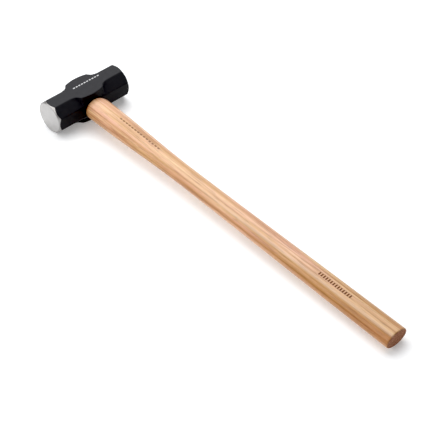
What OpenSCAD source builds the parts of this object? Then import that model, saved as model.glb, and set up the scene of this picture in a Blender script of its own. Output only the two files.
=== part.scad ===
// Double-faced sledge hammer: octagonal forged head wedged on an oval hardwood handle.
// Origin at the middle of the head's lower cheek. +X runs along the striking axis, the handle
// runs out along -Y to its butt, and +Z goes up through the two cheeks.

/* [Head] */
// Length over the two striking faces
head_len = 166; // [140:1:190]
// Height over the cheeks and width over the side flats
head_w = 61; // [56:1:68]
// Width of the flat cheek along the octagonal polls
cheek_w = 26.6; // [22:0.2:28]
// Diameter of each round striking face, inside its turned chamfer
face_d = 58.6; // [50:0.2:60]
// Length of the turned chamfer at the corners of the octagon, along the head
chamfer_len = 5; // [3:0.5:8]

/* [Eye block] */
// Half width of the eye block at the cheeks
block_cheek = 28; // [27:0.5:29]
// Half width of the eye block at the forging's parting line
block_mid = 33; // [32:0.5:35]
// Radius of the crown of the eye block's sides, seen from above
block_r = 82; // [75:1:110]
// Half length of the eye block, up to its corners
block_x = 25.5; // [25:0.5:28]
// Half length at the foot of the concave blend into the polls
foot_x = 39; // [37:0.5:44]
// Radius of that concave blend, seen from above
blend_r = 20; // [16:1:40]

/* [Eye] */
// Height of the eye's mouth on the handle side
eye_mouth = 26; // [24:0.5:28]
// Height of the eye's narrow waist
eye_waist = 24; // [23:0.5:26]
// Height of the eye's mouth on the wedged side
eye_top = 28; // [26:0.5:30]
// Length of the eye as a multiple of its height
eye_ratio = 1.42; // [1.3:0.01:1.45]

/* [Handle] */
// Overall length of the handle, butt to tenon end
handle_len = 813; // [760:1:915]
// How far the tenon end stands proud of the eye block
tenon_proud = 1; // [0.5:0.5:4]
// Full width of the shaft just past the shoulder
shoulder_w = 51; // [46:1:54]
// Full width of the shaft at its waist
waist_w = 39.4; // [34:0.2:42]
// Full width that the shaft swells to at the butt
butt_w = 47; // [40:0.2:50]
// Thickness of the shaft as a share of its width
shaft_aspect = 0.7; // [0.68:0.01:0.9]
// Size of the rounded edge around the butt
butt_round = 2; // [1:0.5:4]

/* [Wedges] */
// Thickness of the wooden wedge where it shows
wood_wedge_t = 8; // [5:0.5:9]
// Depth that the wooden wedge is driven to
wood_wedge_depth = 46; // [30:1:52]
// Thickness of each steel wedge where it shows
steel_wedge_t = 3.6; // [2.5:0.1:4]
// Width of each steel wedge
steel_wedge_w = 18; // [12:1:18]
// Depth that each steel wedge is driven to
steel_wedge_depth = 26; // [18:1:26]
// Distance of each steel wedge from the middle of the eye
steel_wedge_x = 9; // [7:0.5:9.5]
// Angle between each steel wedge and the eye's short axis
steel_wedge_turn = 12; // [0:1:15]

/* [Hidden] */

half = head_w / 2;
corner = cheek_w / 2;
face_x = head_len / 2;
// The eye's rims lie this far each way from the head's centreline
rim_y = crown_y(0) + (block_mid - block_cheek) * (1 - eye_top / head_w);
tenon_end = rim_y + tenon_proud;
butt_y = tenon_end - handle_len;
// The eye's shape is set this far each way from the head's centreline, past the eye block
eye_end = block_mid + 2;
// Clearance between pieces that are pressed together on the real tool
gap = 0.05;
// Overshoot of a shape used for cutting or trimming, past the face that it cuts
over = 5;
// Sides of a full circle, and steps along the concave blend
round_sides = 96;
blend_steps = 6;
// Saw kerf in the tenon, and how much deeper than the wooden wedge it runs
kerf_t = 2;
kerf_extra = 4;
// Thickness of each wedge at its tip
wood_tip_t = 1.6;
steel_tip_t = 0.8;
// Width and thickness of the shaft where its rounded shoulder starts, inside the eye block
shoulder_start = [37, 34];
// The shoulder's rounding, as distances from the head's centreline
round_from = block_mid - 3;
round_to = block_mid + 11;
// The shaft narrows to its waist between the first two distances from the head's centreline,
// and swells again between the other two, the last of which lies past the butt
narrow_from = 50;
narrow_to = 285;
swell_from = 230;
swell_to = 880;
// Points of each oval ring, and rings along the shoulder, the shaft and the butt's rounded edge
ring_points = 40;
shoulder_rings = 8;
shaft_rings = 36;
butt_rings = 4;

function smooth(t) = let (u = min(1, max(0, t))) u * u * (3 - 2 * u);
function mix(a, b, t) = a + (b - a) * t;

// Full width of the shaft at a distance d from the head's centreline
function shaft_width(d) =
    let (
        narrowing = smooth((d - narrow_from) / (narrow_to - narrow_from)),
        swelling = smooth((d - swell_from) / (swell_to - swell_from))
    )
    mix(mix(shoulder_w, waist_w, narrowing), butt_w, swelling);

// How much the rounded edge of the butt takes off each side at a distance d
function butt_loss(d) =
    let (s = min(butt_round, max(0, d + butt_y + butt_round)))
    butt_round - sqrt(pow(butt_round, 2) - pow(s, 2));

// Width and thickness of the shaft at a distance d, with its rounded shoulder and butt
function shaft_size(d) =
    let (
        full = shaft_width(d),
        t = min(1, max(0, (d - round_from) / (round_to - round_from))),
        grown = sqrt(1 - pow(1 - t, 2)),
        lost = 2 * butt_loss(d)
    )
    [
        mix(shoulder_start[0], full, grown) - lost,
        mix(shoulder_start[1], full * shaft_aspect, grown) - lost
    ];

// One oval ring at y, given its full width and height
function oval(y, size) = [
    for (i = [0 : ring_points - 1])
        let (a = 360 * i / ring_points) [size[0] / 2 * cos(a), y, size[1] / 2 * sin(a)]
];

// Points along the arc of radius r from p to q that bulges to the left of that direction
function arc(p, q, r, steps) =
    let (
        chord = norm(q - p),
        along = (q - p) / chord,
        left = [-along[1], along[0]],
        open = asin(chord / 2 / r),
        centre = (p + q) / 2 - left * r * cos(open)
    )
    [
        for (i = [0 : steps])
            let (a = mix(-open, open, i / steps)) centre + along * r * sin(a) + left * r * cos(a)
    ];

// Half width of the eye block's crowned side at x, level with the cheeks
function crown_y(x) = sqrt(pow(block_r, 2) - pow(x, 2)) - (block_r - block_cheek);

// The room inside the eye, hourglass shaped, up to a place along it and shrunk all round
module eye_room(to, less = 0) {
    slope = (eye_top - eye_waist) / 2 / eye_end;
    translate([0, 0, half])
        scale([eye_ratio, 1, 1])
            rotate([-90, 0, 0])
                rotate_extrude($fn = round_sides)
                    polygon([
                        [0, -eye_end],
                        [eye_mouth / 2 - less, -eye_end],
                        [eye_waist / 2 - less, 0],
                        [eye_waist / 2 + slope * to - less, to],
                        [0, to]
                    ]);
}

// Octagonal bar along X about the head's axis, grown all round
module octagon_bar(grown = 0) {
    h = half + grown;
    c = corner + grown * tan(22.5);
    translate([0, 0, half])
        rotate([90, 0, 90])
            linear_extrude(head_len, center = true)
                polygon([[c, h], [-c, h], [-h, c], [-h, -c], [-c, -h], [c, -h], [h, -c], [h, c]]);
}

// Solid of revolution about the head's axis that turns the chamfer behind each striking face
module turned_ends() {
    corner_r = norm([half, corner]);
    slope = (corner_r - face_d / 2) / chamfer_len;
    cone_x = face_x - chamfer_len - over;
    cone_r = corner_r + over * slope;
    translate([0, 0, half])
        rotate([0, 90, 0])
            rotate_extrude($fn = round_sides)
                polygon([
                    [0, -face_x],
                    [face_d / 2, -face_x],
                    [cone_r, -cone_x],
                    [cone_r, cone_x],
                    [face_d / 2, face_x],
                    [0, face_x]
                ]);
}

// The bar with its two striking ends turned
module turned_bar() {
    intersection() {
        octagon_bar();
        turned_ends();
    }
}

// Crowned and drafted sides of the eye block: the overlap of two large double cones
module crowned_sides(grown = 0) {
    r = block_r + grown;
    intersection_for(side = [-1, 1])
        translate([0, side * (block_r - block_cheek), 0])
            rotate_extrude($fn = round_sides)
                polygon([[0, 0], [r, 0], [r + block_mid - block_cheek, half], [r, head_w], [0, head_w]]);
}

// Outline of the eye block seen from above, open past its crowned sides
module block_outline() {
    blend = arc([foot_x, corner - gap], [block_x, crown_y(block_x)], blend_r, blend_steps);
    side = concat(blend, [[block_x, 2 * block_mid]]);
    back = [for (i = [len(side) - 1 : -1 : 0]) side[i]];
    polygon(concat(
        side,
        [for (p = back) [-p[0], p[1]]],
        [for (p = side) -p],
        [for (p = back) [p[0], -p[1]]]
    ));
}

// Eye block in the middle of the head, with concave blends into the polls
module eye_block() {
    intersection() {
        crowned_sides();
        linear_extrude(head_w)
            block_outline();
    }
}

// A wedge driven in from the tenon's end, thickness along Z, grown all round
module wedge_shape(top_t, tip_t, depth, width, grown = 0) {
    y = tenon_end + (grown > 0 ? over : 0);
    // The cutter's flanks go on at the same slope past the tenon's end
    t = top_t + (y - tenon_end) * (top_t - tip_t) / depth;
    tip = tenon_end - depth - grown;
    rotate([90, 0, 90])
        linear_extrude(width + 2 * grown, center = true)
            polygon([
                [y, t / 2 + grown],
                [tip, tip_t / 2 + grown],
                [tip, -tip_t / 2 - grown],
                [y, -t / 2 - grown]
            ]);
}

module wood_wedge_shape(grown = 0) {
    translate([0, 0, half])
        wedge_shape(wood_wedge_t, wood_tip_t, wood_wedge_depth, 2 * eye_top, grown);
}

// Steel wedge on one side of the eye, side being -1 or 1
module steel_wedge_shape(side, grown = 0) {
    translate([side * steel_wedge_x, 0, half])
        rotate([0, 90 + side * steel_wedge_turn, 0])
            wedge_shape(steel_wedge_t, steel_tip_t, steel_wedge_depth, steel_wedge_w, grown);
}

module steel_slots() {
    for (side = [-1, 1])
        steel_wedge_shape(side, gap);
}

// One forging, with its oval eye
module head() {
    color("#26272a")
        difference() {
            union() {
                turned_bar();
                eye_block();
            }
            eye_room(eye_end);
        }
}

// Shaft of the handle, out to just past the butt, where it is cut flat
module shaft() {
    distances = [
        for (i = [0 : shoulder_rings - 1]) mix(round_from, round_to, pow(i / shoulder_rings, 2)),
        for (i = [0 : shaft_rings - 1]) mix(round_to, -butt_y - butt_round, i / shaft_rings),
        for (i = [0 : butt_rings]) -butt_y - butt_round * (1 - sin(90 * i / butt_rings)),
        over - butt_y
    ];
    last = len(distances) - 1;
    end = last * ring_points;
    translate([0, 0, half])
        polyhedron(
            points = [for (d = distances) each oval(-d, shaft_size(d))],
            faces = [
                [for (i = [0 : ring_points - 1]) i],
                for (k = [0 : last - 1], i = [0 : ring_points - 1])
                    let (
                        a = k * ring_points + i,
                        b = k * ring_points + (i + 1) % ring_points
                    )
                    each [[a, b + ring_points, b], [a, a + ring_points, b + ring_points]],
                [for (i = [ring_points - 1 : -1 : 0]) end + i]
            ]
        );
}

// One piece of wood: shaft, shoulder bedded on the eye block, and the kerfed tenon
module handle() {
    color("#dfb48b")
        difference() {
            union() {
                difference() {
                    shaft();
                    crowned_sides(gap);
                    octagon_bar(gap);
                    translate([-head_w, butt_y - 2 * over, -head_w])
                        cube([2 * head_w, 2 * over, 3 * head_w]);
                }
                eye_room(tenon_end, gap);
            }
            wood_wedge_shape(gap);
            translate([0, tenon_end - wood_wedge_depth, half])
                cube([2 * head_w, 2 * kerf_extra, kerf_t], center = true);
            steel_slots();
        }
}

// Wooden wedge in the saw kerf
module wood_wedge() {
    color("#c99f6c")
        difference() {
            intersection() {
                wood_wedge_shape();
                eye_room(tenon_end, gap);
            }
            steel_slots();
        }
}

module steel_wedge_left() {
    color("#8d9094")
        steel_wedge_shape(-1);
}

module steel_wedge_right() {
    color("#8d9094")
        steel_wedge_shape(1);
}

head();
handle();
wood_wedge();
steel_wedge_left();
steel_wedge_right();
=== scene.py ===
"""Double-faced sledge hammer lying on its cheek: a black forged head on a long oval hickory handle.

The head, the handle and the three wedges are each rebuilt as a smooth, detailed mesh in the place
of their CAD node. All lengths are in metres, in the frame of the CAD model: X along the striking
axis, the handle along -Y, Z up through the two cheeks.
"""

import math

import bmesh
import bpy
from mathutils import Matrix, Vector


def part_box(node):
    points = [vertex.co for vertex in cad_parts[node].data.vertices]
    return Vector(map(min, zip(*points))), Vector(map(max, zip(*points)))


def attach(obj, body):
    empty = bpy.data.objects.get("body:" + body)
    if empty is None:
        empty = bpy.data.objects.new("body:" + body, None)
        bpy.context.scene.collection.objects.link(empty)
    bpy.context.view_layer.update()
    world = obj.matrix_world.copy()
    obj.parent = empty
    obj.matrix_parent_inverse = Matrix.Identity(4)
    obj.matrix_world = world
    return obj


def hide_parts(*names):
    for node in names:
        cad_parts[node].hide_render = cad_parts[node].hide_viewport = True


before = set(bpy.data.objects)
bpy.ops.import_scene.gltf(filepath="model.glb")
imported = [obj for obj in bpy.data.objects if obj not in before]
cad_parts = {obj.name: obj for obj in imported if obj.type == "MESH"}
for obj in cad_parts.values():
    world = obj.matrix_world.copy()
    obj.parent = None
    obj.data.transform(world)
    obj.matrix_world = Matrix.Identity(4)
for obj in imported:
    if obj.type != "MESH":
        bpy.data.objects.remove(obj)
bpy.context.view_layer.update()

MM = 0.001
head_low, head_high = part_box("head")
handle_low, handle_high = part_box("handle")

# ---------------------------------------------------------------- sizes of the head
HALF = (head_high.z - head_low.z) / 2
AXIS_Z = head_low.z + HALF
FACE_X = head_high.x
# The octagonal bar: half the width of a flat, the rounding of its corners and of the cheek's edge
CORNER = 13.3 * MM
CORNER_R = math.hypot(HALF, CORNER)
CORNER_ROUND = 1.5 * MM
LIP = 1.1 * MM
# Each end: the turned chamfer, then the face with its rounded rim and its low crown
CHAMFER_LEN = 5 * MM
FACE_R = 29.3 * MM
FACE_CROWN = 0.3 * MM
RIM_ROUND = 1.2 * MM
# The eye block: half its width at the cheek and at the parting line, and the radius of its crown
BLOCK_CHEEK = 28 * MM
BLOCK_MID = 33 * MM
BLOCK_R = 82 * MM
# The hollow blend from the block to the poll: where it starts and ends, and its radius
BLOCK_X = 25.5 * MM
FOOT_X = 39 * MM
BLEND_R = 20 * MM
# How softly block and blend meet, and both with the bar: at the parting line and at the cheek
BLOCK_ROUND = 3 * MM
FOOT_ROUND_MID = 2.4 * MM
FOOT_ROUND_CHEEK = 5 * MM
# From here to the end the head is the plain bar
BAR_X = FOOT_X + 8 * MM

# ---------------------------------------------------------------- sizes of the eye and the tenon
# Half the eye's height in its middle, on the handle's side and on the wedged side, and width to height
EYE_WAIST = 12 * MM
EYE_MOUTH = 13 * MM
EYE_TOP = 14 * MM
EYE_RATIO = 1.42
# The flare is measured this far from the middle
EYE_END = 35 * MM
# The chamfer on the wedged side: where it starts, its length and how much it opens the eye
EYE_CHAMFER_FROM = 30.4 * MM
EYE_CHAMFER_LEN = 1.2 * MM
EYE_CHAMFER_OUT = 0.9 * MM
# Room between two neighbours
GAP = 0.05 * MM
OVAL_POINTS = 96

# ---------------------------------------------------------------- sizes of the handle
# The handle ends this far inside the box of the CAD handle
INSIDE = 0.01 * MM
TENON_END = handle_high.y - INSIDE
BUTT_Y = handle_low.y + INSIDE
# Height of the shaft's oval for a width of 1
ASPECT = 0.70
SHOULDER_HALF = 25.5 * MM
WAIST_HALF = 19.7 * MM
BUTT_HALF = 23.5 * MM
# Distances from the head's centreline over which the shaft narrows, swells and rounds its shoulder
NARROW_FROM = 50 * MM
NARROW_OVER = 235 * MM
SWELL_FROM = 230 * MM
SWELL_OVER = 650 * MM
ROUND_FROM = 30 * MM
ROUND_TO = 44 * MM
# Half width and half height of the shoulder where it meets the head
SHOULDER_START = (18.5 * MM, 17 * MM)
BUTT_ROUND = 2 * MM

# ---------------------------------------------------------------- sizes of the wedges
WOOD_WEDGE = {"top": 8 * MM, "tip": 1.6 * MM, "depth": 46 * MM, "width": 56 * MM}
STEEL_WEDGE = {"top": 3.6 * MM, "tip": 0.8 * MM, "depth": 26 * MM, "width": 18 * MM}
STEEL_WEDGE_X = 9 * MM
STEEL_WEDGE_TURN = math.radians(12)
# The saw cut, and how far it runs past the wooden wedge
KERF = 2 * MM
KERF_EXTRA = 4 * MM
# A slot's cutter stands this far out of the tenon
SLOT_OVER = 5 * MM
WOOD_EDGE = 0.25 * MM
STEEL_EDGE = 0.35 * MM

# ---------------------------------------------------------------- meshing
WELD_DISTANCE = 0.005 * MM
NO_LENGTH = 0.001 * MM
# Degrees of turn above which an edge is drawn sharp
SHARP_ON_HEAD = 21
SHARP = 30

# ---------------------------------------------------------------- marks without lettering
CHEEK_MARK = {"start": -21 * MM, "end": 41 * MM, "count": 10, "share": 0.66, "half_height": 1.25 * MM}
CHEEK_MARK_Y = 6.5 * MM
MAKER_MARK = {"start": -212 * MM, "end": -101 * MM, "count": 14, "share": 0.62, "half_height": 1.7 * MM}
MAKER_MARK_X = 1.5 * MM
GRADE_MARK = {"start": -683 * MM, "end": -609 * MM, "count": 14, "share": 0.56, "half_height": 3.3 * MM}
GRADE_MARK_X = -1.2 * MM

# ---------------------------------------------------------------- stage, light and camera
FLOOR_HALF = 6.0
# Light that the white floor gives off itself, like a lit acrylic table under the hammer
FLOOR_GLOW = 0.26
# Darkest tone of the picture, as in a studio photograph whose blacks are set
BLACK_LEVEL = 0.019
WORLD_LIGHT = 0.20
LIGHT_TARGET = Vector((0.0, -0.15, 0.0))
LENS = 118.6
CAMERA_TARGET = Vector((-34.7, -390.6, 36.3)) * MM
CAMERA_AZIMUTH = -42.47
CAMERA_ELEVATION = 43.93
CAMERA_DISTANCE = 2.377


# ================================================================ small tools
def mix(a, b, t):
    return a + (b - a) * t


def smooth(t):
    t = min(1, max(0, t))
    return t * t * (3 - 2 * t)


def smooth_min(a, b, size):
    """The lower of a and b, with the corner between them rounded over size."""
    near = max(size - abs(a - b), 0) / size
    return min(a, b) - near * near * size / 4


def smooth_max(a, b, size):
    return -smooth_min(-a, -b, size)


def curve_through(start, control, end, steps):
    """Points of a quadratic curve after its start and up to its end."""
    points = []
    for i in range(1, steps + 1):
        t = i / steps
        weights = ((1 - t) ** 2, 2 * t * (1 - t), t * t)
        points.append(tuple(
            sum(w * p[axis] for w, p in zip(weights, (start, control, end))) for axis in (0, 1)
        ))
    return points


def new_piece(name, vertices, faces, materials=()):
    """An object from plain lists of points and faces, with its normals pointing outwards."""
    mesh = bpy.data.meshes.new(name)
    mesh.from_pydata(vertices, [], faces)
    for material in materials:
        mesh.materials.append(material)
    piece = bpy.data.objects.new(name, mesh)
    bpy.context.scene.collection.objects.link(piece)
    made = bmesh.new()
    made.from_mesh(mesh)
    bmesh.ops.recalc_face_normals(made, faces=made.faces)
    made.to_mesh(mesh)
    made.free()
    return piece


def loft(rings):
    """Points and faces of a closed skin over rings of equal length, its two ends fanned to a point."""
    count = len(rings[0])
    vertices = [tuple(p) for ring in rings for p in ring]
    faces = []
    for k in range(len(rings) - 1):
        for i in range(count):
            a = k * count + i
            b = k * count + (i + 1) % count
            faces.append((a, b, b + count, a + count))
    for first, ring in ((0, rings[0]), ((len(rings) - 1) * count, rings[-1])):
        middle = sum((Vector(p) for p in ring), Vector()) / count
        vertices.append(tuple(middle))
        for i in range(count):
            faces.append((first + i, first + (i + 1) % count, len(vertices) - 1))
    return vertices, faces


def apply_modifiers(piece):
    mesh = bpy.data.meshes.new_from_object(piece.evaluated_get(bpy.context.evaluated_depsgraph_get()))
    piece.modifiers.clear()
    piece.data = mesh


def weld(piece):
    """Closes up the slivers that a cut leaves along its edge."""
    made = bmesh.new()
    made.from_mesh(piece.data)
    bmesh.ops.remove_doubles(made, verts=made.verts, dist=WELD_DISTANCE)
    bmesh.ops.dissolve_degenerate(made, dist=NO_LENGTH, edges=made.edges)
    made.to_mesh(piece.data)
    made.free()


def cut(piece, cutter, operation="DIFFERENCE"):
    """Cuts the cutter out of the piece, or keeps only what they share, and removes the cutter."""
    modifier = piece.modifiers.new("cut", "BOOLEAN")
    modifier.solver = "EXACT"
    modifier.operation = operation
    modifier.object = cutter
    bpy.context.view_layer.update()
    apply_modifiers(piece)
    weld(piece)
    bpy.data.objects.remove(cutter)


def shade(piece, sharp_degrees):
    """Smooth shading, with a sharp edge wherever the surface turns by more than sharp_degrees."""
    made = bmesh.new()
    made.from_mesh(piece.data)
    for face in made.faces:
        face.smooth = True
    for edge in made.edges:
        turn = edge.calc_face_angle(0)
        edge.smooth = turn < math.radians(sharp_degrees)
    made.to_mesh(piece.data)
    made.free()


# ================================================================ shape of the head
def octagon_side(h):
    """Half width of the octagonal bar at height h over its axis, with rounded corners."""
    return smooth_min(HALF, HALF + CORNER - abs(h), CORNER_ROUND)


def crown_side(x, h):
    """Half width of the eye block's crowned and drafted side."""
    ridge = 1 * MM
    height = math.hypot(h, ridge) - ridge
    radius = BLOCK_R + (BLOCK_MID - BLOCK_CHEEK) * (1 - height / HALF)
    return math.sqrt(radius ** 2 - x ** 2) - (BLOCK_R - BLOCK_CHEEK)


def blend_side(x):
    """Half width of the concave blend between the eye block and the polls."""
    x = abs(x)
    if x > FOOT_X:
        return CORNER - (x - FOOT_X)
    start = Vector((FOOT_X, CORNER))
    end = Vector((BLOCK_X, crown_side(BLOCK_X, HALF)))
    chord = end - start
    out = Vector((-chord.y, chord.x)).normalized()
    centre = (start + end) / 2 - out * math.sqrt(BLEND_R ** 2 - chord.length_squared / 4)
    if x < centre.x - BLEND_R:
        return 2 * BLOCK_MID
    return centre.y - math.sqrt(BLEND_R ** 2 - (centre.x - x) ** 2)


def head_side(x, h):
    """Half width of the head at x along it and height h over its axis."""
    bar = octagon_side(h)
    if abs(x) > BAR_X:
        return bar
    block = smooth_min(crown_side(x, h), blend_side(x), BLOCK_ROUND)
    softness = mix(FOOT_ROUND_MID, FOOT_ROUND_CHEEK, smooth(abs(h) / HALF))
    return smooth_max(bar, block, softness)


def head_quarter(x):
    """Points (y, h) of the section at x, from the middle of a cheek round to the parting line."""
    cheek_steps = 6
    lip_steps = 6
    diagonal_steps = 16
    side_steps = 12
    crowding = 1.5  # above 1, points lie closer near the corner at h = CORNER
    width = head_side(x, HALF)
    low = (head_side(x, HALF - LIP), HALF - LIP)
    points = [((width - LIP) * i / cheek_steps, HALF) for i in range(cheek_steps + 1)]
    points += curve_through(points[-1], (width, HALF), low, lip_steps)
    for i in range(1, diagonal_steps + 1):
        h = CORNER + (low[1] - CORNER) * (1 - i / diagonal_steps) ** crowding
        points.append((head_side(x, h), h))
    for i in range(1, side_steps + 1):
        h = CORNER * (1 - (i / side_steps) ** crowding)
        points.append((head_side(x, h), h))
    return points


def head_outline(x):
    """Points (y, h) of the whole closed section of the head at x, chamfers left out."""
    quarter = head_quarter(x)
    back = quarter[-2::-1]
    outline = quarter + [(y, -h) for y, h in back]
    return outline + [(-y, -h) for y, h in quarter[1:]] + [(-y, h) for y, h in back[:-1]]


def head_ring(x):
    """The closed section of the head at x, as points of the frame."""
    return [(x, y, AXIS_Z + h) for y, h in head_outline(x)]


def chamfer_start(y, h):
    """How far along the head the turned chamfer begins at one point of the octagon's outline."""
    slope = (CORNER_R - FACE_R) / CHAMFER_LEN
    return FACE_X - (math.hypot(y, h) - FACE_R) / slope


def head_end(side):
    """Rings of one end: the scalloped edge of the paint, the turned chamfer, the crowned face."""
    outline = head_outline(FACE_X)
    rim = (FACE_X - FACE_CROWN, FACE_R)
    chamfer_shares = (0, 0.3, 0.6, 0.85)
    rim_steps = 5
    face_shares = (0.92, 0.8, 0.6, 0.4, 0.2, 0.07)
    rings = []
    for share in chamfer_shares:
        ring = []
        for y, h in outline:
            radius = math.hypot(y, h)
            x = mix(chamfer_start(y, h), rim[0], share)
            shrink = mix(radius, rim[1], share) / radius
            ring.append((side * x, y * shrink, AXIS_Z + h * shrink))
        rings.append(ring)
    round_from = (rim[0] - RIM_ROUND * 0.6, rim[1] + RIM_ROUND * 0.5)
    edge = curve_through(round_from, rim, (rim[0], rim[1] - RIM_ROUND), rim_steps)
    face = []
    for share in face_shares:
        face.append((FACE_X - FACE_CROWN * share ** 2, rim[1] * share))
    for x, radius in edge[:-1] + face:
        ring = []
        for y, h in outline:
            shrink = radius / math.hypot(y, h)
            ring.append((side * x, y * shrink, AXIS_Z + h * shrink))
        rings.append(ring)
    return rings


def tenon_size(y, less):
    """Half width and half height of the eye's oval at y, drawn in by less."""
    flare = EYE_TOP if y > 0 else EYE_MOUTH
    half_height = mix(EYE_WAIST, flare, abs(y) / EYE_END)
    return EYE_RATIO * (half_height - less), half_height - less


def oval(size, y):
    """Points of an oval about the head's axis height; y is a number or a function of (x, h)."""
    ring = []
    for i in range(OVAL_POINTS):
        a = math.tau * i / OVAL_POINTS
        x = size[0] * math.cos(a)
        h = size[1] * math.sin(a)
        ring.append((x, y(x, h) if callable(y) else y, AXIS_Z + h))
    return ring


def eye_cutter():
    """The room inside the eye, with a small chamfer where it opens on the wedged side."""
    opened = EYE_CHAMFER_FROM + EYE_CHAMFER_LEN
    stops = [(-EYE_END, 0), (0, 0), (EYE_CHAMFER_FROM, 0)]
    stops += [(opened, -EYE_CHAMFER_OUT), (EYE_END, -EYE_CHAMFER_OUT)]
    rings = [oval(tenon_size(y, less), y) for y, less in stops]
    return new_piece("eye_cutter", *loft(rings))


def head_stations():
    """Distances of the sections from the middle of the head: crown, blend by the millimetre, poll."""
    crown_steps = 8
    blend_from = 22
    blend_to = 48
    poll_steps = 8
    poll_end = FACE_X - CHAMFER_LEN - 1 * MM
    crown = [i * blend_from / crown_steps * MM for i in range(crown_steps)]
    blend = [x * MM for x in range(blend_from, blend_to)]
    poll = [mix(blend_to * MM, poll_end, i / poll_steps) for i in range(poll_steps + 1)]
    return crown + blend + poll


def is_bare(point):
    """True on both striking faces with their rims, and on the chamfer of the -X end."""
    slack_across = 0.1 * MM
    slack_along = 1.2 * FACE_CROWN
    radius = math.hypot(point.y, point.z - AXIS_Z)
    on_face = abs(point.x) > FACE_X - RIM_ROUND - FACE_CROWN and radius < FACE_R + slack_across
    on_near_chamfer = -point.x > chamfer_start(point.y, point.z - AXIS_Z) - slack_along
    return on_face or on_near_chamfer


def build_head(paint, ground):
    """The forging, painted but for its bare steel, with the eye cut through it."""
    body = head_stations()
    rings = head_end(-1)[::-1]
    rings += [head_ring(-x) for x in body[:0:-1]] + [head_ring(x) for x in body]
    rings += head_end(1)
    piece = new_piece("forged_head", *loft(rings), (paint, ground))
    for face in piece.data.polygons:
        bare = all(is_bare(piece.data.vertices[v].co) for v in face.vertices)
        face.material_index = 1 if bare else 0
    cut(piece, eye_cutter())
    shade(piece, SHARP_ON_HEAD)
    return piece


# ================================================================ shape of the handle
def shaft_half_width(d):
    """Half width of the shaft at a distance d from the head's centreline."""
    narrowing = smooth((d - NARROW_FROM) / NARROW_OVER)
    swelling = smooth((d - SWELL_FROM) / SWELL_OVER)
    return mix(mix(SHOULDER_HALF, WAIST_HALF, narrowing), BUTT_HALF, swelling)


def shaft_size(d):
    """Half width and half height of the shaft at d, with its rounded shoulder and butt edge."""
    into_butt = min(BUTT_ROUND, max(0, d + BUTT_Y + BUTT_ROUND))
    lost = BUTT_ROUND - math.sqrt(BUTT_ROUND ** 2 - into_butt ** 2)
    t = min(1, max(0, (d - ROUND_FROM) / (ROUND_TO - ROUND_FROM)))
    grown = math.sqrt(1 - (1 - t) ** 2)
    full = shaft_half_width(d)
    return (
        mix(SHOULDER_START[0], full, grown) - lost,
        mix(SHOULDER_START[1], full * ASPECT, grown) - lost,
    )


def against_head(d):
    """The y of a shoulder point at distance d, kept clear of the side of the eye block."""
    return lambda x, h: -max(d, head_side(x, h) + GAP)


def build_handle(wood):
    """The handle from its butt to the end of the tenon, with the kerf and the wedges' slots cut."""
    butt = -BUTT_Y
    rings = [oval([s * share for s in shaft_size(butt)], BUTT_Y) for share in (0.25, 0.5, 0.75, 0.9)]
    rings += [oval(shaft_size(d), -d) for d in butt_distances(butt)]
    straight = int((butt - BUTT_ROUND - ROUND_TO) / (3 * MM))
    for i in range(straight):
        d = mix(butt - BUTT_ROUND, ROUND_TO, i / straight)
        rings.append(oval(shaft_size(d), -d))
    shoulder_steps = 14
    for i in range(shoulder_steps):
        d = mix(ROUND_FROM, ROUND_TO, (1 - i / shoulder_steps) ** 2)
        rings.append(oval(shaft_size(d), against_head(d)))
    rings.append(oval(SHOULDER_START, against_head(0)))
    rings.append(oval(tenon_size(-32 * MM, GAP), against_head(0)))
    for y in (-28 * MM, -14 * MM, 0, 10 * MM, 20 * MM, 28 * MM, TENON_END - 0.6 * MM):
        rings.append(oval(tenon_size(y, GAP), y))
    rings.append(oval(tenon_size(TENON_END, GAP + 0.12 * MM), TENON_END - 0.15 * MM))
    for share in (0.98, 0.75, 0.5, 0.25):
        rings.append(oval([s * share for s in tenon_size(TENON_END, GAP)], TENON_END))
    piece = new_piece("hickory_handle", *loft(rings), (wood,))
    cut(piece, wood_wedge_solid(GAP))
    cut(piece, kerf_cutter())
    for side in (-1, 1):
        cut(piece, steel_wedge_solid("slot_cutter", side, GAP))
    shade(piece, SHARP)
    return piece


def butt_distances(butt):
    """Distances of the sections round the butt's edge."""
    steps = 6
    return [
        butt - BUTT_ROUND * (1 - math.cos(math.radians(90 * i / steps))) for i in range(steps + 1)
    ]


# ================================================================ shapes of the wedges
def wedge_points(size, grown):
    """Corners of a tapered wedge along Y, thickness along Z, about the middle of its width."""
    over = SLOT_OVER if grown else 0
    top = size["top"] + over * (size["top"] - size["tip"]) / size["depth"]
    half_width = size["width"] / 2 + grown
    wide_end = (TENON_END + over, top / 2 + grown)
    thin_end = (TENON_END - size["depth"] - grown, size["tip"] / 2 + grown)
    return wedge_corners(half_width, wide_end, thin_end)


def wedge_corners(half_width, *ends):
    """Four corners at each end, an end being its y and its half thickness."""
    corners = []
    for y, thick in ends:
        for x, z in ((-1, -1), (1, -1), (1, 1), (-1, 1)):
            corners.append((x * half_width, y, z * thick))
    return corners


WEDGE_FACES = ((0, 1, 2, 3), (7, 6, 5, 4), (0, 4, 5, 1), (1, 5, 6, 2), (2, 6, 7, 3), (3, 7, 4, 0))


def wood_wedge_solid(grown=0.0):
    place = Matrix.Translation((0, 0, AXIS_Z))
    points = [tuple(place @ Vector(p)) for p in wedge_points(WOOD_WEDGE, grown)]
    return new_piece("wood_wedge_solid", points, WEDGE_FACES)


def steel_wedge_solid(name, side, grown=0.0):
    turn = Matrix.Rotation(math.radians(90) + side * STEEL_WEDGE_TURN, 4, "Y")
    place = Matrix.Translation((side * STEEL_WEDGE_X, 0, AXIS_Z)) @ turn
    points = [tuple(place @ Vector(p)) for p in wedge_points(STEEL_WEDGE, grown)]
    return new_piece(name, points, WEDGE_FACES)


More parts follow.
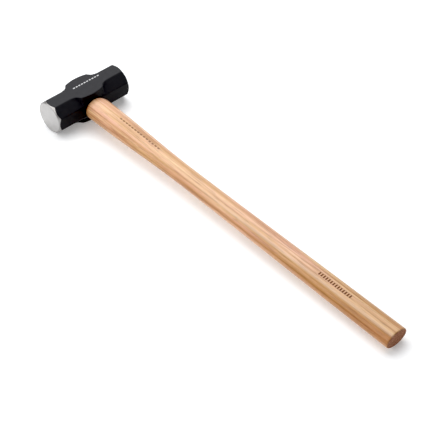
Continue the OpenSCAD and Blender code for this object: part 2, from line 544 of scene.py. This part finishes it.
def kerf_cutter():
    """A thin saw cut across the tip of the wooden wedge, right through the tenon."""
    tip = TENON_END - WOOD_WEDGE["depth"]
    ends = ((tip + KERF_EXTRA, KERF / 2), (tip - KERF_EXTRA, KERF / 2))
    points = [(x, y, AXIS_Z + z) for x, y, z in wedge_corners(WOOD_WEDGE["width"], *ends)]
    return new_piece("kerf_cutter", points, WEDGE_FACES)


def soften(piece, width, segments=2):
    """Rounds the sharp edges of a piece a little."""
    modifier = piece.modifiers.new("soften", "BEVEL")
    modifier.width = width
    modifier.segments = segments
    modifier.limit_method = "ANGLE"
    modifier.angle_limit = math.radians(35)
    bpy.context.view_layer.update()
    apply_modifiers(piece)


def build_wood_wedge(wood):
    """The wooden wedge, trimmed to the eye's oval and slotted for the steel wedges."""
    stops = (-20 * MM, -8 * MM, 4 * MM, 16 * MM, 28 * MM, TENON_END - 0.2 * MM)
    piece = new_piece("driven_wood_wedge", *loft([oval(tenon_size(y, GAP), y) for y in stops]), (wood,))
    cut(piece, wood_wedge_solid(), "INTERSECT")
    for side in (-1, 1):
        cut(piece, steel_wedge_solid("slot_cutter", side, GAP))
    soften(piece, WOOD_EDGE)
    piece.data.materials.clear()
    piece.data.materials.append(wood)
    shade(piece, SHARP)
    return piece


def build_steel_wedge(name, side, steel):
    """A small tapered steel wedge with softened edges."""
    piece = steel_wedge_solid(name, side)
    piece.data.materials.append(steel)
    soften(piece, STEEL_EDGE, 3)
    shade(piece, SHARP)
    return piece


# ================================================================ shader tools
def node(tree, kind, inputs=None, **settings):
    """A shader node; each input is set to a value or linked from another node's socket."""
    made = tree.nodes.new(kind)
    for name, value in settings.items():
        setattr(made, name, value)
    for name, value in (inputs or {}).items():
        if isinstance(value, bpy.types.NodeSocket):
            tree.links.new(value, made.inputs[name])
        else:
            made.inputs[name].default_value = value
    return made


def maths(tree, operation, a, b=0.0, clamp=False):
    made = node(tree, "ShaderNodeMath", {0: a, 1: b}, operation=operation)
    made.use_clamp = clamp
    return made.outputs[0]


def blend_colours(tree, share, a, b, kind="MIX"):
    made = node(tree, "ShaderNodeMix", {0: share, 6: a, 7: b}, data_type="RGBA", blend_type=kind)
    return made.outputs[2]


def tinted(tree, share, colour, by):
    """The colour multiplied by another one, as far as share goes."""
    return blend_colours(tree, share, colour, by, "MULTIPLY")


def rise(tree, value, start, over):
    """0 up to start, 1 from start + over on, and even in between; over may be negative."""
    return maths(tree, "DIVIDE", maths(tree, "SUBTRACT", value, start), over, clamp=True)


def product(tree, first, *others):
    for other in others:
        first = maths(tree, "MULTIPLY", first, other)
    return first


def ramp(tree, value, stops):
    """A smooth step or colour ramp; each stop is (position, grey or colour)."""
    made = node(tree, "ShaderNodeValToRGB", {"Fac": value})
    elements = made.color_ramp.elements
    while len(elements) < len(stops):
        elements.new(0.5)
    for element, (position, colour) in zip(elements, stops):
        element.position = position
        element.color = colour if len(colour) == 4 else (*colour, 1)
    return made.outputs["Color"]


def grey(value):
    return (value, value, value, 1)


def place_of(tree):
    return node(tree, "ShaderNodeTexCoord").outputs["Object"]


def parts_of(tree, vector):
    """The x, y and z of a vector."""
    return node(tree, "ShaderNodeSeparateXYZ", {0: vector}).outputs


def facing_of(tree):
    """The x, y and z of the surface's own direction."""
    return parts_of(tree, node(tree, "ShaderNodeNewGeometry").outputs["Normal"])


def scaled_and_raised(tree, value, scale, base):
    return maths(tree, "ADD", maths(tree, "MULTIPLY", value, scale), base)


def noise(tree, place, stretch, detail=3.0, roughness=0.55, distortion=0.0):
    """Noise whose grains are one over stretch metres long each way."""
    scaled = node(tree, "ShaderNodeVectorMath", {0: place, 1: stretch}, operation="MULTIPLY")
    settings = {"Vector": scaled.outputs[0], "Scale": 1.0, "Detail": detail,
                "Roughness": roughness, "Distortion": distortion}
    return node(tree, "ShaderNodeTexNoise", settings).outputs["Fac"]


def bump(tree, height, strength, distance, under=None):
    inputs = {"Height": height, "Strength": strength, "Distance": distance}
    if under is not None:
        inputs["Normal"] = under
    return node(tree, "ShaderNodeBump", inputs).outputs["Normal"]


def new_material(name):
    material = bpy.data.materials.new(name)
    material.use_nodes = True
    tree = material.node_tree
    surface = next(n for n in tree.nodes if n.type == "BSDF_PRINCIPLED")
    return material, tree, surface


def drive(tree, surface, **sockets):
    """Sets or links inputs of the surface shader, named with _ for each space."""
    for name, value in sockets.items():
        socket = surface.inputs[name.replace("_", " ")]
        if isinstance(value, bpy.types.NodeSocket):
            tree.links.new(value, socket)
        else:
            socket.default_value = value


def within(tree, value, low, high, soft):
    """1 where the value lies well between low and high, and 0 outside, rising over soft."""
    return product(tree, rise(tree, value, low, soft), rise(tree, value, high, -soft))


def dashes(tree, along, across, start, end, count, share, half_height):
    """A row of equal bars between start and end: 1 on a bar and 0 elsewhere."""
    pitch = (end - start) / count
    soft = 0.15 * MM
    step = maths(tree, "SUBTRACT", along, start)
    phase = maths(tree, "FLOORED_MODULO", step, pitch)
    bar = within(tree, phase, pitch * (1 - share) / 2, pitch * (1 + share) / 2, soft)
    row = within(tree, across, -half_height, half_height, soft)
    run = within(tree, along, start, end, soft)
    return product(tree, bar, row, run)


# ================================================================ materials
def painted_forging():
    """Black paint with painted shade on the upright sides, and a plain white dashed mark on the upper
    cheek.
    """
    material, tree, surface = new_material("black_painted_forging")
    place = place_of(tree)
    along, across, height = parts_of(tree, place)
    fine = noise(tree, place, (900, 900, 900), 4, 0.6)
    coarse = noise(tree, place, (120, 120, 120), 3, 0.5)
    colour = blend_colours(tree, coarse, (0.029, 0.029, 0.032, 1), (0.039, 0.039, 0.043, 1))
    # Painted shade: the upright sides of the head are darkened to two thirds of the paint's tone.
    upright_shade = rise(tree, maths(tree, "ABSOLUTE", facing_of(tree)[2]), 0.65, -0.5)
    colour = tinted(tree, upright_shade, colour, grey(0.66))
    mark = dashes(tree, along, maths(tree, "SUBTRACT", across, CHEEK_MARK_Y), **CHEEK_MARK)
    on_cheek = maths(tree, "GREATER_THAN", height, AXIS_Z + HALF - 0.3 * MM)
    colour = blend_colours(tree, product(tree, mark, on_cheek), colour, (0.62, 0.62, 0.63, 1))
    roughness = scaled_and_raised(tree, fine, 0.14, 0.34)
    normal = bump(tree, coarse, 0.25, 0.5 * MM)
    normal = bump(tree, fine, 0.22, 0.12 * MM, normal)
    drive(tree, surface, Base_Color=colour, Roughness=roughness, Normal=normal, Metallic=0.0)
    drive(tree, surface, Specular_IOR_Level=0.09)
    return material


def ground_steel():
    """Bare steel with fine grinding marks; the turned chamfer carries a painted shade that stands in
    for its darker reflection.
    """
    material, tree, surface = new_material("ground_steel")
    place = place_of(tree)
    streaks = noise(tree, place, (300, 260, 4200), 4, 0.6)
    cloud = noise(tree, place, (70, 70, 70), 3, 0.5)
    colour = blend_colours(tree, cloud, (0.395, 0.383, 0.375, 1), (0.485, 0.471, 0.462, 1))
    axes = parts_of(tree, place)
    height = maths(tree, "SUBTRACT", axes[2], AXIS_Z)
    squares = [product(tree, value, value) for value in (axes[1], height)]
    radius = maths(tree, "SQRT", maths(tree, "ADD", *squares))
    # Painted shade: the turned chamfer is darkened to four fifths of the steel's tone, standing in for
    # its darker reflection.
    chamfer_shade = rise(tree, radius, FACE_R - RIM_ROUND, 0.3 * MM)
    colour = tinted(tree, chamfer_shade, colour, grey(0.80))
    roughness = scaled_and_raised(tree, streaks, 0.2, 0.26)
    normal = bump(tree, streaks, 0.25, 0.05 * MM)
    drive(tree, surface, Base_Color=colour, Roughness=roughness, Normal=normal, Metallic=1.0)
    return material


def straight_grain(tree, place, streaks, pores):
    """Colour of the wood: pink and straw bands along the grain, dark streaks and fine pores."""
    bands = noise(tree, place, (150, 2.2, 150), 3, 0.55, 0.5)
    patches = noise(tree, place, (60, 6, 60), 2, 0.5)
    colour = ramp(tree, bands, (
        (0.36, (0.520, 0.280, 0.125)),
        (0.45, (0.640, 0.375, 0.195)),
        (0.53, (0.690, 0.405, 0.255)),
        (0.64, (0.770, 0.520, 0.315)),
    ))
    dark = ramp(tree, streaks, ((0.38, (0.60, 0.48, 0.40)), (0.50, grey(1.0))))
    colour = tinted(tree, 0.65, colour, dark)
    patch = ramp(tree, patches, ((0.40, (0.98, 0.98, 0.84)), (0.60, (1.03, 0.97, 1.08))))
    colour = tinted(tree, 0.8, colour, patch)
    speck = ramp(tree, pores, ((0.34, grey(0.45)), (0.46, grey(1.0))))
    return tinted(tree, 0.4, colour, speck)


def long_bands(tree, colour, across, along, facing):
    """The same colour with what runs along the whole handle: darker to the butt, painted shade on the
    -X side, a painted highlight band and painted shade on the shoulder.
    """
    near_butt = rise(tree, along, -400 * MM, -380 * MM)
    colour = tinted(tree, near_butt, colour, (0.86, 0.81, 0.70, 1))
    # Painted shade: an ochre tint darkens the -X side of the handle, more deeply towards the butt.
    side = rise(tree, across, -12 * MM, -6 * MM)
    depth = scaled_and_raised(tree, near_butt, 0.5, 0.45)
    upper_half = rise(tree, facing[2], -0.3, 0.6)
    colour = tinted(tree, product(tree, side, depth, upper_half), colour, (0.80, 0.64, 0.36, 1))
    # Painted highlight: a pale band along the -X side, from past the waist towards the butt.
    past_waist = rise(tree, along, -300 * MM, -120 * MM)
    painted_highlight = within(tree, across, -14.5 * MM, -6.5 * MM, 3 * MM)
    colour = blend_colours(tree, product(tree, painted_highlight, past_waist, 0.26), colour, (0.86, 0.69, 0.56, 1))
    # Painted shade: the shoulder's rounding, which faces the head, is tinted a darker orange-brown.
    shoulder = rise(tree, facing[1], 0.15, 0.6)
    return tinted(tree, shoulder, colour, (0.62, 0.40, 0.24, 1))


def burned_marks(tree, across, along, height):
    """Depth of the two rows of burned bars on the upper side of the handle."""
    maker = dashes(tree, along, maths(tree, "SUBTRACT", across, MAKER_MARK_X), **MAKER_MARK)
    grade = dashes(tree, along, maths(tree, "SUBTRACT", across, GRADE_MARK_X), **GRADE_MARK)
    both = maths(tree, "MAXIMUM", product(tree, maker, 0.8), grade)
    return product(tree, both, maths(tree, "GREATER_THAN", height, AXIS_Z), 0.92)


def hickory():
    """Varnished hickory with dull end grain and two plain burned marks."""
    material, tree, surface = new_material("varnished_hickory")
    place = place_of(tree)
    across, along, height = parts_of(tree, place)
    facing = facing_of(tree)
    streaks = noise(tree, place, (380, 9, 380), 3, 0.6, 0.3)
    pores = noise(tree, place, (1100, 55, 1100), 2, 0.5)
    colour = straight_grain(tree, place, streaks, pores)
    colour = long_bands(tree, colour, across, along, facing)
    end = rise(tree, maths(tree, "ABSOLUTE", facing[1]), 0.78, 0.2)
    rings = noise(tree, place, (260, 10, 900), 4, 0.6, 0.6)
    end_grain = ramp(tree, rings, ((0.40, (0.22, 0.092, 0.060)), (0.60, (0.50, 0.260, 0.175))))
    colour = blend_colours(tree, product(tree, end, 0.92), colour, end_grain)
    burn = burned_marks(tree, across, along, height)
    colour = blend_colours(tree, burn, colour, (0.110, 0.036, 0.012, 1))
    gloss = maths(tree, "SUBTRACT", 1.0, maths(tree, "MAXIMUM", burn, end))
    roughness = scaled_and_raised(tree, streaks, 0.2, 0.30)
    normal = bump(tree, streaks, 0.14, 0.25 * MM)
    normal = bump(tree, pores, 0.15, 0.06 * MM, normal)
    drive(tree, surface, Base_Color=colour, Roughness=roughness, Normal=normal)
    drive(tree, surface, Specular_IOR_Level=product(tree, gloss, 0.32))
    drive(tree, surface, Coat_Weight=product(tree, gloss, 0.25), Coat_Roughness=0.22)
    return material


def wedge_wood():
    """Bare end grain of the wooden wedge, a darker and coarser wood than the handle."""
    material, tree, surface = new_material("wedge_wood")
    place = place_of(tree)
    rings = noise(tree, place, (140, 30, 1500), 4, 0.6, 0.5)
    pores = noise(tree, place, (1700, 300, 1700), 3, 0.6)
    colour = ramp(tree, rings, ((0.35, (0.17, 0.085, 0.040)), (0.65, (0.38, 0.22, 0.115))))
    speck = ramp(tree, pores, ((0.35, grey(0.5)), (0.5, grey(1.0))))
    colour = tinted(tree, 0.6, colour, speck)
    normal = bump(tree, pores, 0.4, 0.15 * MM)
    roughness = scaled_and_raised(tree, rings, 0.2, 0.6)
    drive(tree, surface, Base_Color=colour, Roughness=roughness, Normal=normal)
    return material


def wedge_steel():
    """Bare steel of the small wedges, dulled and marked by hammer blows."""
    material, tree, surface = new_material("wedge_steel")
    place = place_of(tree)
    dents = noise(tree, place, (420, 420, 420), 3, 0.5)
    fine = noise(tree, place, (2600, 900, 2600), 3, 0.6)
    colour = ramp(tree, dents, ((0.35, (0.30, 0.29, 0.28)), (0.65, (0.52, 0.52, 0.52))))
    roughness = scaled_and_raised(tree, fine, 0.3, 0.28)
    normal = bump(tree, dents, 0.5, 0.2 * MM)
    drive(tree, surface, Base_Color=colour, Roughness=roughness, Normal=normal, Metallic=1.0)
    return material


# ================================================================ stage
def floor_tilt():
    """Angle between the floor and the cheek: the hammer rests on its eye block and its butt."""
    touch = -BUTT_Y - BUTT_ROUND
    butt_low = AXIS_Z - shaft_size(touch)[1]
    return math.atan2(butt_low, touch - BLOCK_CHEEK)


def on_floor():
    """Matrix from a level frame that stands on the floor to the frame of the hammer."""
    pivot = Vector((0, -BLOCK_CHEEK, 0))
    turn = Matrix.Rotation(-floor_tilt(), 4, "X")
    return Matrix.Translation(pivot) @ turn @ Matrix.Translation(-pivot)


def build_floor():
    material, tree, surface = new_material("white_floor")
    paper = noise(tree, place_of(tree), (400, 400, 400), 2)
    drive(tree, surface, Base_Color=(0.855, 0.87, 0.885, 1), Specular_IOR_Level=0.2)
    drive(tree, surface, Emission_Color=(1, 1, 1, 1), Emission_Strength=FLOOR_GLOW)
    drive(tree, surface, Roughness=scaled_and_raised(tree, paper, 0.1, 0.6))
    corners = [(x * FLOOR_HALF, y * FLOOR_HALF, 0) for x, y in ((-1, -1), (1, -1), (1, 1), (-1, 1))]
    floor = new_piece("floor", corners, [(0, 1, 2, 3)], (material,))
    floor.matrix_world = on_floor()


def direction(azimuth, elevation):
    """Unit vector towards a place round the hammer; azimuth 0 is along -Y and 90 along +X."""
    a = math.radians(azimuth)
    e = math.radians(elevation)
    return Vector((math.sin(a) * math.cos(e), -math.cos(a) * math.cos(e), math.sin(e)))


def build_camera():
    data = bpy.data.cameras.new("camera")
    data.lens = LENS
    data.clip_start = 0.05
    data.clip_end = 50
    camera = bpy.data.objects.new("camera", data)
    bpy.context.scene.collection.objects.link(camera)
    back = direction(CAMERA_AZIMUTH, CAMERA_ELEVATION)
    place = Matrix.Translation(CAMERA_TARGET + back * CAMERA_DISTANCE)
    aim = (-back).to_track_quat("-Z", "Y").to_matrix().to_4x4()
    camera.matrix_world = on_floor() @ place @ aim
    bpy.context.scene.camera = camera


def softbox(name, azimuth, elevation, distance, size, power):
    """A rectangular soft light that faces the hammer."""
    data = bpy.data.lights.new(name, "AREA")
    data.shape = "RECTANGLE"
    data.size = size[0]
    data.size_y = size[1]
    data.energy = power
    light = bpy.data.objects.new(name, data)
    bpy.context.scene.collection.objects.link(light)
    back = direction(azimuth, elevation)
    light.location = LIGHT_TARGET + back * distance
    light.rotation_mode = "QUATERNION"
    light.rotation_quaternion = (-back).to_track_quat("-Z", "Y")


def build_lights():
    softbox("overhead", 148, 56, 3.2, (4.2, 3.2), 150)
    softbox("back_left", 245, 34, 2.6, (3.8, 1.1), 40)
    world = bpy.data.worlds.new("studio")
    world.use_nodes = True
    background = next(n for n in world.node_tree.nodes if n.type == "BACKGROUND")
    background.inputs["Color"].default_value = (1, 1, 1, 1)
    background.inputs["Strength"].default_value = WORLD_LIGHT
    bpy.context.scene.world = world
    view = bpy.context.scene.view_settings
    view.view_transform = "Standard"
    view.use_curve_mapping = True
    view.curve_mapping.black_level = (BLACK_LEVEL, BLACK_LEVEL, BLACK_LEVEL)
    view.curve_mapping.update()


# ================================================================ the scene
def stand_for(piece, node_name):
    """Shows the piece in place of one CAD node."""
    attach(piece, "root")
    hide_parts(node_name)


build_camera()
build_floor()
build_lights()
stand_for(build_head(painted_forging(), ground_steel()), "head")
stand_for(build_handle(hickory()), "handle")
stand_for(build_wood_wedge(wedge_wood()), "wood_wedge")
bare_steel = wedge_steel()
for wedge_side, wedge_name in ((-1, "left"), (1, "right")):
    wedge = build_steel_wedge("driven_steel_wedge_" + wedge_name, wedge_side, bare_steel)
    stand_for(wedge, "steel_wedge_" + wedge_name)
